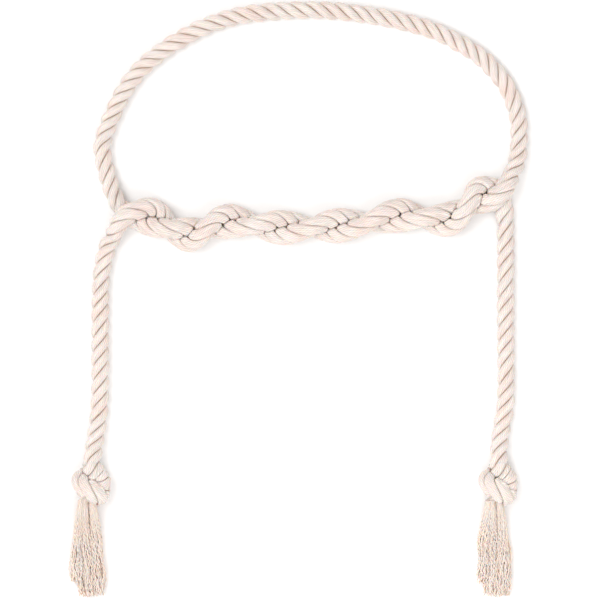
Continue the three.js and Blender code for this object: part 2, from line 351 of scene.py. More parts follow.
class BELT_PG_colour(bpy.types.PropertyGroup):
    """Colours of the cotton, its painted shade and the floor"""

    cotton: FloatVectorProperty(
        name="Cotton", description="Crowns of the strands", subtype="COLOR", default=(0.92, 0.84, 0.79))
    blush: FloatVectorProperty(
        name="Blush", description="Warmer patches", subtype="COLOR", default=(0.92, 0.77, 0.71))
    # Painted shade: the dark colour mixed in between the strands and on the yarns inside each freed strand
    groove_shade: FloatVectorProperty(
        name="Groove", description="Between the strands", subtype="COLOR", default=(0.46, 0.30, 0.215))
    frayed: FloatVectorProperty(
        name="Frayed yarn", description="Freed yarns", subtype="COLOR", default=(0.99, 0.80, 0.71))
    floor: FloatVectorProperty(
        name="Floor", description="Pale studio floor", subtype="COLOR", default=(0.93, 0.93, 0.93))


def catmull_rom(points, steps):
    """A centripetal Catmull-Rom line through the points, with the same number of steps in each span."""
    p = np.asarray(points, float)
    p = np.vstack([2 * p[0] - p[1], p, 2 * p[-1] - p[-2]])
    gap = np.sqrt(np.linalg.norm(np.diff(p, axis=0), axis=1))[:, None]
    before, here, after, beyond = p[:-3], p[1:-2], p[2:-1], p[3:]
    g0, g1, g2 = gap[:-2], gap[1:-1], gap[2:]
    leave = ((here - before) / g0 - (after - before) / (g0 + g1) + (after - here) / g1) * g1
    arrive = ((after - here) / g1 - (beyond - here) / (g1 + g2) + (beyond - after) / g2) * g1
    spans = []
    for t in np.arange(steps) / steps:
        spans.append(
            (2 * t**3 - 3 * t**2 + 1) * here + (t**3 - 2 * t**2 + t) * leave
            + (3 * t**2 - 2 * t**3) * after + (t**3 - t**2) * arrive)
    line = np.stack(spans, axis=1).reshape(-1, p.shape[1])
    return np.vstack([line, p[-2]])


def unit(vectors):
    """Vectors made one long."""
    return vectors / np.linalg.norm(vectors, axis=-1, keepdims=True)


def belt_points(rows, size=LOOP_DEPTH):
    """Rows of the loop and the twist as points."""
    return [(MIDDLE_X + x * LOOP_WIDTH, FRONT_Y + y * size, LYING + lift * ROPE) for x, y, lift in rows]


def tail_points(rows):
    """Rows of a tail as points."""
    return belt_points(rows, -TAIL_LENGTH)


def knot_points(side):
    """The rope's way through one knot."""
    centre = (
        MIDDLE_X + KNOT_X[side] * LOOP_WIDTH,
        FRONT_Y - TAIL_LENGTH - KNOT[0][1] * ROPE,
        KNOT_HEIGHT * ROPE)
    return [tuple(c + ROPE * k for c, k in zip(centre, row)) for row in KNOT]


def twist_runs():
    """The two runs of the front twist, on opposite sides of a middle line through the rows of TWIST."""
    middle = catmull_rom([point[:2] for point in belt_points(TWIST)], POINTS_PER_QUARTER * STEPS_PER_POINT)
    steps = np.arange(0, len(middle), STEPS_PER_POINT)
    ahead = np.minimum(steps + POINTS_OF_DIRECTION * STEPS_PER_POINT, len(middle) - 1)
    behind = np.maximum(steps - POINTS_OF_DIRECTION * STEPS_PER_POINT, 0)
    along = unit(middle[ahead] - middle[behind])
    middle = middle[steps]
    apart = catmull_rom([(i, row[2]) for i, row in enumerate(TWIST)], POINTS_PER_QUARTER)[:, 1]
    phase = np.arange(len(middle)) / POINTS_PER_QUARTER * math.pi / 2
    reach = apart * STACK * np.sin(phase)
    offset = np.stack([-along[:, 1] * reach, along[:, 0] * reach, STACK * np.cos(phase)], axis=1)
    centre = np.column_stack([middle, np.full(len(middle), CROSSING_HEIGHT)])
    return (centre + offset).tolist(), (centre - offset).tolist()


class Route:
    """The centre line of the whole rope from the left frayed end to the right one, with an upright frame
    all along the lying rope and a frame that turns as little as it can through the knots."""

    def __init__(self):
        left_run, right_run = twist_runs()
        stretches = {
            "left_knot": knot_points("left")[::-1],
            "left_tail": tail_points(LEFT_TAIL)[::-1],
            "left_run": belt_points(LEFT_RISE) + left_run + belt_points(RIGHT_FALL),
            "loop": belt_points(LOOP),
            "right_run": belt_points(LEFT_FALL) + right_run + belt_points(RIGHT_EXIT),
            "right_tail": tail_points(RIGHT_TAIL),
            "right_knot": knot_points("right"),
        }
        points = []
        self.starts = {}
        for name, rows in stretches.items():
            self.starts[name] = len(points) * STEPS_PER_SPAN
            points += rows
        self.starts["left_knot_end"] = self.starts["left_tail"] - STEPS_PER_SPAN
        self.starts["end"] = (len(points) - 1) * STEPS_PER_SPAN
        self.line = catmull_rom(points, STEPS_PER_SPAN)
        self.measure()
        self.round_bends()
        self.measure()
        up = np.array([0.0, 0.0, 1.0])
        self.normal = unit(up - self.tangent * self.tangent[:, 2:])
        self.carry_normal(self.starts["left_knot_end"], 0)
        self.carry_normal(self.starts["right_knot"], self.starts["end"])
        self.side = np.cross(self.tangent, self.normal)

    def measure(self):
        """The direction of the line and the distance along it."""
        self.tangent = unit(np.gradient(self.line, axis=0))
        self.distance = np.concatenate([[0], np.cumsum(np.linalg.norm(np.diff(self.line, axis=0), axis=1))])

    def round_bends(self):
        """Averages the line over a short reach, which is less in the knots and none at its two ends."""
        left, right = (self.distance[self.starts[name]] for name in ("left_knot_end", "right_knot"))
        end = self.distance[-1]
        reach = np.interp(
            self.distance,
            [0, 2 * SOFT_KNOT, left, left + EASE, right - EASE, right, end - 2 * SOFT_KNOT, end],
            [FIXED_END, SOFT_KNOT, SOFT_KNOT, SOFT_BEND, SOFT_BEND, SOFT_KNOT, SOFT_KNOT, FIXED_END])
        weight = np.exp(-(((self.distance[:, None] - self.distance) / reach[:, None]) ** 2) / 2)
        weight *= np.gradient(self.distance)
        self.line = weight @ self.line / weight.sum(axis=1, keepdims=True)

    def carry_normal(self, first, last):
        """Carries the frame on from one place of the line to another with no turn about it."""
        way = 1 if last > first else -1
        for i in range(first + way, last + way, way):
            carried = self.normal[i - way]
            carried = carried - self.tangent[i] * (carried @ self.tangent[i])
            self.normal[i] = carried / np.linalg.norm(carried)

    def frame_at(self, at):
        """The points, normals and sides at places along the rope."""
        return (np.stack([np.interp(at, self.distance, values[:, k]) for k in range(3)], axis=1)
                for values in (self.line, self.normal, self.side))

    def stretch(self, first, last, step):
        """Evenly spaced places from one named place to another: distance, point, normal and side."""
        a, b = self.starts[first], self.starts[last]
        reach = self.distance[b] - self.distance[a]
        at = np.linspace(self.distance[a], self.distance[b], max(3, round(reach / step)) + 1)
        points, normals, sides = self.frame_at(at)
        return at, points, unit(normals), unit(sides)

    def cut_short(self, name, inward):
        """Adds a named place a little way along the rope from another one."""
        at = self.distance[self.starts[name]] + inward
        self.starts[name + "_cut"] = int(np.argmin(np.abs(self.distance - at)))


route = Route()
route.cut_short("left_knot", FRAY_DEPTH - FRAY_OVERLAP)
route.cut_short("end", FRAY_OVERLAP - FRAY_DEPTH)


def seam_doubled(rows):
    """Rings with their first point repeated at the end."""
    return np.concatenate([rows, rows[:, :1]], axis=1)


def place_points(mesh, tubes):
    """Moves the points of flat grids onto the tubes and gives them their attributes."""
    def column(key):
        return np.concatenate([seam_doubled(tube[key]).reshape(-1) for tube in tubes]).astype(np.float32)

    mesh.vertices.foreach_set("co", column("points"))
    for key, kind, slot in (
            ("yarn_place", "FLOAT_VECTOR", "vector"), ("yarn_round", "FLOAT_VECTOR", "vector"),
            ("yarn_height", "FLOAT", "value"), ("painted_shade", "FLOAT", "value")):
        mesh.attributes.new(key, kind, "POINT").data.foreach_set(slot, column(key))


def close_tubes(bm, tubes):
    """Joins each tube's seam and closes its ends."""
    bm.verts.ensure_lookup_table()
    doubles = {}
    first = 0
    for tube in tubes:
        rings, around = tube["points"].shape[:2]
        for start in range(first, first + rings * (around + 1), around + 1):
            doubles[bm.verts[start + around]] = bm.verts[start]
        first += rings * (around + 1)
    bmesh.ops.weld_verts(bm, targetmap=doubles)
    for face in bm.faces:
        face.smooth = True
    rims = [edge for edge in bm.edges if edge.is_boundary]
    for edge in rims:
        edge.smooth = False
    for face in bmesh.ops.holes_fill(bm, edges=rims, sides=0)["faces"]:
        face.smooth = False
    bmesh.ops.recalc_face_normals(bm, faces=bm.faces)


def tube_mesh(name, tubes):
    """One piece of closed tubes. A tube is a dict with its rings of points and, for each point, the place in
    its yarn, the way round the yarn, the relief and the painted shade that grows with how deep it lies
    between the strands."""
    bm = bmesh.new()
    for tube in tubes:
        rings, around = tube["points"].shape[:2]
        bmesh.ops.create_grid(bm, x_segments=around, y_segments=rings - 1, size=1)
    mesh = bpy.data.meshes.new(name)
    bm.to_mesh(mesh)
    place_points(mesh, tubes)
    bm.clear()
    bm.from_mesh(mesh)
    close_tubes(bm, tubes)
    bm.to_mesh(mesh)
    bm.free()
    piece = bpy.data.objects.new(name, mesh)
    bpy.context.scene.collection.objects.link(piece)
    return piece


def strand_outline(centre, corner, place):
    """Points of a strand's section, each at its share of the way round."""
    inner = 1 - centre - corner
    middle = HALF_THIRD - math.asin((corner - centre * math.sin(HALF_THIRD)) / inner)
    crown = np.linspace(0, middle, CROWN_POINTS)
    bend = np.linspace(middle, HALF_THIRD + math.pi / 2, CORNER_POINTS)
    upper = np.concatenate([
        (centre, 0) + (1 - centre) * np.stack([np.cos(crown), np.sin(crown)], axis=1),
        (centre + inner * math.cos(middle), inner * math.sin(middle))
        + corner * np.stack([np.cos(bend), np.sin(bend)], axis=1)])
    rows = np.concatenate([upper, [[TIP, 0]], upper[:0:-1] * (1, -1), upper[:1]])
    share = np.concatenate([[0], np.cumsum(np.linalg.norm(np.diff(rows, axis=0), axis=1))])
    share /= share[-1]
    return np.interp(place, share, rows[:, 0]), np.interp(place, share, rows[:, 1])


def sway(at, seed):
    """A slow uneven wave along the rope between about -1 and 1."""
    return sum(np.sin(2 * math.pi * at / length + seed * (SWAY_SHIFT + i))
               for i, length in enumerate(SWAY_LENGTHS)) / SWAY_PEAK


def smooth(x):
    """A smooth step from 0 to 1."""
    x = np.clip(x, 0, 1)
    return x * x * (3 - 2 * x)


def press(at, centre, points, radius):
    """Flattens the points of each ring where the rope meets another stretch of itself or the floor, and
    fills the hollow beside the contact. Returns the points and how close each is to a contact with another
    stretch, which sets the painted shade beside it."""
    pressed = points - centre[:, None]
    contact_shade = np.zeros(points.shape[:2])
    for i, middle in enumerate(centre):
        offset = route.line - middle
        apart = np.abs(route.distance - at[i])
        reach = np.einsum("ij,ij->i", offset, offset)
        near = (apart > OWN_REACH) & (reach < NEAR**2)
        ring = pressed[i]
        own = np.linalg.norm(ring, axis=1)
        if near.any():
            along = ring @ offset[near].T
            half = reach[near] / 2 - CONTACT_GAP * np.sqrt(reach[near])
            with np.errstate(divide="ignore"):
                share = np.where(along > TINY, half / np.maximum(along, TINY), np.inf)
            limit = share.min(axis=1) * own
            other = apart[near] > OTHER_REACH
            if other.any():
                ratio = share[:, other].min(axis=1) * own / radius[i]
                swell = np.clip(ratio - 1, 0, SPREAD) * (1 - smooth((ratio - 1 - SPREAD) / SPREAD_END))
                # Painted shade beside a contact with another stretch of the rope
                contact_shade[i] = 1 - smooth((ratio - 1) / CONTACT_SHADE_WIDTH)
                ring *= (1 + swell)[:, None]
                own *= 1 + swell
            ring *= np.minimum(1, limit / np.maximum(own, TINY))[:, None]
        down = -ring[:, 2] / (middle[2] - FLOOR_GAP)
        ring /= np.maximum(1, down)[:, None]
    return pressed + centre[:, None], contact_shade


def yarn_attributes(shape, place, angle, height, painted_shade):
    """What the cotton's textures need at each point of a tube: its place in the yarn, the way round the
    yarn, the height on it and its painted shade, which grows with how deep it lies between the strands."""
    rounds = (np.cos(angle), np.sin(angle), 0.0)
    return {
        "yarn_place": np.stack([np.broadcast_to(row, shape) for row in place], axis=2),
        "yarn_round": np.stack([np.broadcast_to(row, shape) for row in rounds], axis=2),
        "yarn_height": np.broadcast_to(height, shape)[..., None],
        "painted_shade": np.broadcast_to(painted_shade, shape)[..., None],
    }


def lay_turns(at, rope):
    """Turns of the strands up to places along the rope. The twist along the front opens their lay."""
    turns = route.distance / rope.lay
    for first, last in (("left_run", "loop"), ("right_run", "right_tail")):
        a, b = route.distance[route.starts[first]], route.distance[route.starts[last]]
        share = smooth((route.distance - a) / LAY_EASE) * smooth((b - route.distance) / LAY_EASE)
        share = np.cumsum(share * np.gradient(route.distance))
        turns = turns - rope.opened * share / share[-1]
    return np.interp(at, route.distance, turns)


def strand_section(place, hold, relief, radius):
    """A strand's section in each ring, from its free outline to its tight one."""
    free = strand_outline(FREE_CROWN, FREE_CORNER, place)
    tight = strand_outline(TIGHT_CROWN, TIGHT_CORNER, place)
    out, across = (a + (b - a) * hold for a, b in zip(free, tight))
    return radius * (SECTION_MIDDLE + (out - SECTION_MIDDLE) * relief), radius * across * relief


def rope_tubes(at, centre, normal, side, tight, hold, rope):
    """The strands of a laid rope along a line. hold goes from 0 where the rope is free to 1 where it is
    held to the tight diameter. Each strand's yarns are laid against the strand, so that they run nearly
    along the rope on its crowns."""
    radius = (rope.free + (tight - rope.free) * hold) / 2
    hold = hold[:, None]
    turns = lay_turns(at, rope)
    around = rope.yarns * POINTS_PER_YARN
    spot = np.arange(around) / around
    hump = np.abs(np.sin(rope.yarns * spot * math.pi))
    relief = 1 - rope.yarn_relief * (1 - hump)
    tubes = []
    for k in range(STRANDS):
        turn = (2 * math.pi * (turns + k / STRANDS) + LAY_SWAY * sway(at, LAY_SEED))[:, None]
        plump = (radius * (1 + STRAND_SWAY * sway(at, STRAND_SEEDS[k])))[:, None]
        place = (spot - YARN_BACK_TURN * turns[:, None]) % 1
        out, across = strand_section(place, hold, relief, plump)
        up = out * np.cos(turn) - across * np.sin(turn)
        right = out * np.sin(turn) + across * np.cos(turn)
        points = centre[:, None] + up[..., None] * normal[:, None] + right[..., None] * side[:, None]
        from_axis = np.hypot(out, across) / radius[:, None]
        # Painted shade in the grooves between the strands, lighter where the rope is held tight
        painted_shade = np.clip((GROOVE_SHADE_TOP - from_axis) / (GROOVE_SHADE_TOP - GROOVE_SHADE_BOTTOM), 0, 1)
        painted_shade = painted_shade * (1 + (TIGHT_GROOVE_SHADE - 1) * hold)
        points, contact_shade = press(at, centre, points, radius)
        spread = (at[:, None], YARN_SPACE * np.cos(2 * math.pi * spot) + k * STRAND_SPACE,
                  YARN_SPACE * np.sin(2 * math.pi * spot))
        # Each point keeps the darker of its painted shade in the grooves and beside contacts
        tubes.append({"points": points, **yarn_attributes(
            up.shape, spread, 2 * math.pi * rope.yarns * spot, hump,
            np.maximum(painted_shade, CONTACT_SHADE_DEPTH * contact_shade))})
    return tubes


def settings():
    """The rope's, the tassels' and the colours' settings."""
    return bpy.context.scene.belt_rope, bpy.context.scene.belt_tassel, bpy.context.scene.belt_colour


def finish_piece(piece, slot, material, *nodes):
    """Gives a piece its material and its body, and hides the solids that it stands for. Its slot is not
    used.
    """
    piece.data.materials.append(material)
    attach(piece, "root")
    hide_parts(*nodes)
    return piece


def rope_piece(name, first, last, solid, tight=0.0, held_ends=(0, 0)):
    """One piece of the laid rope. Where it is held tight it eases to its free size at an end whose value
    in held_ends is 0."""
    rope = settings()[0]
    at, centre, normal, side = route.stretch(first, last, rope.step)
    hold = np.zeros(len(at))
    if tight:
        hold = smooth((at - at[0]) / EASE + held_ends[0]) * smooth((at[-1] - at) / EASE + held_ends[1])
    piece = tube_mesh(name, rope_tubes(at, centre, normal, side, tight or rope.free, hold, rope))
    return finish_piece(piece, "cotton_rope", cotton_material(), solid)


def new_group(name, inputs, outputs):
    """A shader node group with named sockets, and its two end nodes."""
    group = bpy.data.node_groups.new(name, "ShaderNodeTree")
    for label, kind in inputs:
        group.interface.new_socket(name=label, in_out="INPUT", socket_type=kind)
    for label, kind in outputs:
        group.interface.new_socket(name=label, in_out="OUTPUT", socket_type=kind)
    return group, group.nodes.new("NodeGroupInput"), group.nodes.new("NodeGroupOutput")


def node(tree, kind, inputs=(), **values):
    """A node with its properties set and its inputs set or linked."""
    made = tree.nodes.new(kind)
    for key, value in values.items():
        setattr(made, key, value)
    for key, value in dict(inputs).items():
        if isinstance(value, bpy.types.NodeSocket):
            tree.links.new(value, made.inputs[key])
        else:
            made.inputs[key].default_value = value
    return made


def worked(tree, operation, *values, clamp=False):
    """What a Math node puts out."""
    return node(tree, "ShaderNodeMath", enumerate(values), operation=operation, use_clamp=clamp).outputs[0]


def ranged(tree, value, old, new):
    """A value taken from one range to another, and held to it."""
    return node(tree, "ShaderNodeMapRange", {
        "Value": value, "From Min": old[0], "From Max": old[1],
        "To Min": new[0], "To Max": new[1]}).outputs[0]


def pattern(tree, place, repeats, detail, roughness):
    """Noise over a place, with its repeats in a metre along each axis."""
    spread = node(tree, "ShaderNodeMapping", {"Vector": place, "Scale": repeats}).outputs[0]
    return node(tree, "ShaderNodeTexNoise", {
        "Vector": spread, "Scale": 1.0, "Detail": detail, "Roughness": roughness}).outputs["Fac"]


def blended(tree, share, first, second):
    """A colour between two, by a share."""
    mix = node(tree, "ShaderNodeMix", {"Factor": share, "A": first, "B": second}, data_type="RGBA")
    return next(out for out in mix.outputs if out.type == "RGBA")


def ply_wave(tree, place, plies, length):
    """A wave round and along a yarn, from the plies that are twisted in it."""
    spot = node(tree, "ShaderNodeAttribute", attribute_name="yarn_round").outputs["Vector"]
    spot = node(tree, "ShaderNodeSeparateXYZ", {"Vector": spot}).outputs
    along = node(tree, "ShaderNodeSeparateXYZ", {"Vector": place}).outputs["X"]
    angle = worked(tree, "MULTIPLY", worked(tree, "ARCTAN2", spot["Y"], spot["X"]), plies)
    turns = worked(tree, "MULTIPLY", worked(tree, "DIVIDE", along, length), 2 * math.pi)
    return worked(tree, "COSINE", worked(tree, "ADD", angle, turns))


def yarn_shade(tree, fibre, slub, ply, given):
    """How light a yarn is, from its streaks and slubs, and from painted shade in the hollows of its plies
    and in the lines beside it.
    """
    hump = node(tree, "ShaderNodeAttribute", attribute_name="yarn_height").outputs["Fac"]
    lowest = worked(tree, "SUBTRACT", 1.0, given["Valley"])
    shade = worked(tree, "MULTIPLY", ranged(tree, fibre, *FIBRE_SHADE), ranged(tree, slub, *SLUB_SHADE))
    # Painted shade in the lines between yarns, where a yarn's relief is low
    shade = worked(tree, "MULTIPLY", shade, ranged(tree, hump, (0.0, VALLEY_SHADE_TOP), (lowest, 1.0)))
    # Painted shade in the hollows between the plies
    shade = worked(tree, "MULTIPLY", shade, ranged(tree, ply, *PLY_SHADE))
    shade = worked(tree, "SUBTRACT", shade, 1.0)
    return worked(tree, "MULTIPLY_ADD", shade, given["Contrast"], 1.0)


def fibre_group():
    """Cotton fibre: streaks along the yarns, and painted shade as darker hollows in the plies, darker lines
    between yarns and dark grooves between strands.
    """
    name = "cotton_fibre"
    if name in bpy.data.node_groups:
        return bpy.data.node_groups[name]
    tree, start, end = new_group(
        name,
        [("Cotton", "NodeSocketColor"), ("Blush", "NodeSocketColor"), ("Groove", "NodeSocketColor"),
         ("Valley", "NodeSocketFloat"), ("Groove Strength", "NodeSocketFloat"),
         ("Plies", "NodeSocketFloat"), ("Ply Length", "NodeSocketFloat"), ("Contrast", "NodeSocketFloat")],
        [("Color", "NodeSocketColor"), ("Roughness", "NodeSocketFloat"), ("Height", "NodeSocketFloat")])
    given = start.outputs
    place = node(tree, "ShaderNodeAttribute", attribute_name="yarn_place").outputs["Vector"]
    painted_shade = node(tree, "ShaderNodeAttribute", attribute_name="painted_shade").outputs["Fac"]
    where = node(tree, "ShaderNodeTexCoord").outputs["Object"]
    fibre = pattern(tree, place, *FIBRE)
    slub = pattern(tree, place, *SLUB)
    ply = ply_wave(tree, place, given["Plies"], given["Ply Length"])

    blush = ranged(tree, pattern(tree, where, *PATCH), *PATCH_BLUSH)
    base = blended(tree, blush, given["Cotton"], given["Blush"])
    shade = yarn_shade(tree, fibre, slub, ply, given)
    shaded = node(tree, "ShaderNodeVectorMath", {0: base, "Scale": shade}, operation="SCALE").outputs[0]

    # Painted shade: the dark colour mixed in by each point's share of it
    deep = worked(tree, "POWER", painted_shade, GROOVE_SHADE_POWER)
    deep = worked(tree, "MULTIPLY", deep, given["Groove Strength"], clamp=True)
    relief = worked(tree, "MULTIPLY_ADD", fibre, FIBRE_RELIEF, slub)
    tree.links.new(blended(tree, deep, shaded, given["Groove"]), end.inputs["Color"])
    tree.links.new(ranged(tree, fibre, *FIBRE_ROUGHNESS), end.inputs["Roughness"])
    tree.links.new(worked(tree, "MULTIPLY_ADD", ply, PLY_RELIEF, relief), end.inputs["Height"])
    return tree


def fibre_material(name, cotton, blush, groove_shade, **values):
    """A material of cotton fibre with its own colours and values."""
    if name in bpy.data.materials:
        return bpy.data.materials[name]
    material = bpy.data.materials.new(name)
    material.use_nodes = True
    tree = material.node_tree
    shader = tree.nodes["Principled BSDF"]
    fibre = node(tree, "ShaderNodeGroup", node_tree=fibre_group())
    for label, value in (("Cotton", cotton), ("Blush", blush), ("Groove", groove_shade)):
        fibre.inputs[label].default_value = (*value, 1)
    for label, value in values.items():
        fibre.inputs[label.replace("_", " ").title()].default_value = value
    bumped = node(tree, "ShaderNodeBump", {
        "Height": fibre.outputs["Height"], "Strength": BUMP_STRENGTH, "Distance": BUMP_DEPTH})
    tree.links.new(fibre.outputs["Color"], shader.inputs["Base Color"])
    tree.links.new(fibre.outputs["Roughness"], shader.inputs["Roughness"])
    tree.links.new(bumped.outputs["Normal"], shader.inputs["Normal"])
    for label, value in COTTON_SHADER.items():
        shader.inputs[label].default_value = value
    return material


def cotton_material():
    """The laid rope's cotton, with painted shade as darker lines between its yarns and in the grooves
    between its strands.
    """
    colour = settings()[2]
    return fibre_material("laid_cotton", colour.cotton, colour.blush, colour.groove_shade, valley=0.16,
                          groove_strength=1.0, plies=1.0, ply_length=0.0019, contrast=1.2)


def frayed_material():
    """The freed yarns' cotton, with two plies that show and painted shade on the yarns inside each strand.
    """
    colour = settings()[2]
    warm = [value * share for value, share in zip(colour.frayed, FRAYED_BLUSH)]
    return fibre_material("frayed_cotton", colour.frayed, warm, colour.groove_shade, valley=0.0,
                          groove_strength=0.50, plies=2.0, ply_length=0.0034, contrast=0.35)


class BELT_OT_stage(bpy.types.Operator):
    """Sets up the pale floor, the soft light and the camera straight above"""

    bl_idname = "belt.stage"
    bl_label = "Stage"

    def execute(self, context):
        self.add_floor()
        self.add_sky()
        for name, values in LIGHTS.items():
            self.add_light(name, *values)
        self.add_camera()
        return {"FINISHED"}

    def add_floor(self):
        """A plain pale plane under the belt."""
        bm = bmesh.new()
        bmesh.ops.create_grid(bm, x_segments=1, y_segments=1, size=FLOOR_SIZE)
        mesh = bpy.data.meshes.new("floor")
        bm.to_mesh(mesh)
        bm.free()
        floor = bpy.data.objects.new("floor", mesh)
        bpy.context.scene.collection.objects.link(floor)
        material = bpy.data.materials.new("pale_floor")
        material.use_nodes = True
        shader = material.node_tree.nodes["Principled BSDF"]
        shader.inputs["Base Color"].default_value = (*settings()[2].floor, 1)
        for label, value in FLOOR_SHADER.items():
            shader.inputs[label].default_value = value
        mesh.materials.append(material)

    def add_sky(self):
        """An even light from all sides."""
        world = bpy.data.worlds.new("studio")
        world.use_nodes = True
        sky = world.node_tree.nodes["Background"]
        sky.inputs["Color"].default_value = SKY_COLOUR
        sky.inputs["Strength"].default_value = SKY_STRENGTH
        bpy.context.scene.world = world

    def add_light(self, name, power, size, place):
        """A round lamp that shines at the middle of the floor."""
        lamp = bpy.data.lights.new(name, "AREA")
        lamp.energy = power
        lamp.shape = "DISK"
        lamp.size = size
        holder = bpy.data.objects.new(name, lamp)
        holder.location = place
        holder.rotation_euler = (-holder.location).to_track_quat("-Z", "Y").to_euler()
        bpy.context.scene.collection.objects.link(holder)

    def add_camera(self):
        """Straight above, with the photo's view of the belt."""
        scene = bpy.context.scene
        camera = bpy.data.cameras.new("camera")
        camera.sensor_width = SENSOR_WIDTH
        camera.lens = camera.sensor_width * (CAMERA_HEIGHT - ROPE) / PHOTO_WIDTH
        camera.clip_end = CAMERA_REACH
        viewer = bpy.data.objects.new("camera", camera)
        viewer.location = (*PHOTO_CENTRE, CAMERA_HEIGHT)
        scene.collection.objects.link(viewer)
        scene.camera = viewer
        scene.view_settings.view_transform = "Standard"


class BELT_OT_waist_loop(bpy.types.Operator):
    """Lays the loop of rope round the back and sides"""

    bl_idname = "belt.waist_loop"
    bl_label = "Waist loop"

    def execute(self, context):
        piece = rope_piece("waist_rope", "loop", "right_run", "waist_loop")
        declare_cord("loop", "right_run")
        return {"FINISHED"}


class BELT_OT_front_runs(bpy.types.Operator):
    """Lays the two runs that twist round each other along the front"""

    bl_idname = "belt.front_runs"
    bl_label = "Front runs"

    def execute(self, context):
        rope = settings()[0]
        for name, first, last, solid in (
                ("left_run_rope", "left_run", "loop", "front_run_left"),
                ("right_run_rope", "right_run", "right_tail", "front_run_right")):
            piece = rope_piece(name, first, last, solid, rope.pressed)
            declare_cord(first, last)
        return {"FINISHED"}


class BELT_OT_tails(bpy.types.Operator):
    """Lays the two tails"""

    bl_idname = "belt.tails"
    bl_label = "Tails"

    def execute(self, context):
        rope_piece("left_tail_rope", "left_knot_end", "left_run", "left_tail")
        rope_piece("right_tail_rope", "right_tail", "right_knot", "right_tail")
        return {"FINISHED"}


class BELT_OT_knots(bpy.types.Operator):
    """Ties the overhand knot at the foot of each tail"""

    bl_idname = "belt.knots"
    bl_label = "Knots"

    def execute(self, context):
        rope = settings()[0]
        rope_piece("left_knot_rope", "left_knot_cut", "left_knot_end", "left_knot", rope.knotted, (1, 0))
        rope_piece("right_knot_rope", "right_knot", "end_cut", "right_knot", rope.knotted, (0, 1))
        return {"FINISHED"}


def sunflower(count):
    """Evenly spread points in a unit disc."""
    i = np.arange(count)
    distance = np.sqrt((i + 0.5) / count)
    angle = i * math.pi * (3 - math.sqrt(5))
    return np.stack([distance * np.cos(angle), distance * np.sin(angle)], axis=1)


class FrayedEnd:
    """The yarns below one knot. They come undone inside the knot, part into three strands and lie down on
    the floor. end is the rope's end on the route and inward the way along the route into the knot."""

    def __init__(self, end, inward, seed):
        self.rope, self.tassel, _ = settings()
        self.inward = inward
        self.last = route.distance[end]
        self.rng = np.random.default_rng(seed)
        lay = 2 * math.pi * lay_turns(self.last, self.rope)
        turns = [lay + 2 * math.pi * k / STRANDS for k in range(STRANDS)]
        order = np.argsort([math.cos(a) * route.normal[end][0] + math.sin(a) * route.side[end][0]
                            for a in turns])
        self.turns = [turns[k] for k in order]

    def tubes(self):
        """All the yarns, strand by strand."""
        disc = sunflower(self.tassel.yarns)
        tubes = []
        for strand, turn in zip(FRAYED_STRANDS, self.turns):
            common = self.rng.uniform(0, 2 * math.pi)
            tubes += [self.yarn(strand, turn, common, a, b) for a, b in disc]
        return tubes

    def yarn(self, strand, turn, common, a, b):
        """One yarn, which has its place a, b in the unit disc of its strand."""
        draw = self.rng.uniform
        rim = math.hypot(a, b)
        reach = self.tassel.length * draw(*strand[4:])
        wander = draw(-1, 1, 5)
        pace, size = draw(*CRIMP_PACES), draw(*CRIMP_SIZES)
        thick = self.tassel.yarn * draw(*YARN_SIZES)
        offset = draw(0, 1)
        step = YARN_STEP if rim > CORE else YARN_STEP * 2
        q = np.concatenate([
            np.arange(-FRAY_DEPTH, STRAIGHT_LENGTH - step, STRAIGHT_STEP),
            np.linspace(STRAIGHT_LENGTH, reach, round((reach - STRAIGHT_LENGTH) / step) + 1)])
        t = np.clip(q, 0, None) / self.tassel.length
        wave = 2 * math.pi * q / (CRIMP_LENGTH * pace) + math.atan2(b, a) + common + wander[0]
        wave += CRIMP_SHIFT * np.sin(CRIMP_SHIFT_TURN * t + WANDER * wander[1])
        crimp = self.tassel.crimp * smooth(t / CRIMP_EASE) * size
        drift = STRAY * t * np.sin(STRAY_TURN * t + WANDER * wander[2]) * wander[3]
        drift += CROSSING * smooth((t - CROSSING_START) / CROSSING_EASE) * np.sin(
            2 * math.pi * (q / CROSSING_LENGTH + wander[4] / 2))
        line = self.middle_line(strand, turn, a, b, q, t)
        line[:, 0] += crimp * np.sin(wave) + drift
        line[:, 2] = np.maximum(line[:, 2] + CRIMP_RISE * crimp * np.cos(wave), thick * 0.5 + FLOOR_GAP)
        return yarn_tube(line, thick, offset, 1 - rim)

    def middle_line(self, strand, strand_turn, a, b, q, t):
        """A yarn's way without its own waves, at lengths q below the knot, which are t as shares."""
        at = self.last + self.inward * np.clip(-q, 0, None)
        base, normal, side = route.frame_at(at)
        lay_turn = 2 * math.pi * (at - self.last - self.inward * np.clip(q, 0, UNLAY)) / self.rope.lay
        turn = strand_turn + lay_turn
        curl = lay_turn * YARN_CURL - self.inward * SPIN * t
        spin_a = a * np.cos(curl) - b * np.sin(curl)
        spin_b = a * np.sin(curl) + b * np.cos(curl)
        line = base + self.rope.knotted / 2 * (
            (STRAND_MIDDLE * np.cos(turn) + STRAND_REACH * spin_a)[:, None] * normal
            + (STRAND_MIDDLE * np.sin(turn) + STRAND_REACH * spin_b)[:, None] * side)
        fallen = smooth((t - FALL_START) / FALL_LENGTH)
        middle, half = (near + (far - near) * fallen for near, far in zip(strand[:2], strand[2:4]))
        wide = 1 + (FRAYED_NECK - 1) * np.exp(-np.clip(q, 0, None) / FRAYED_EASE)
        height = FRAYED_HEIGHT / 2 + (base[:, 2] - FRAYED_HEIGHT / 2) * (1 - smooth(t / FALL_LENGTH))
        loose_x = base[:, 0] + self.tassel.width * wide * (middle + half * spin_a)
        loose_z = height + FRAYED_HEIGHT / 2 * FRAYED_FILL * spin_b
        free = smooth((q + FRAY_DEPTH) / UNDONE)
        line[:, 0] += (loose_x - line[:, 0]) * free
        line[:, 1] -= np.clip(q, 0, None)
        line[:, 2] += (loose_z - line[:, 2]) * free
        return line


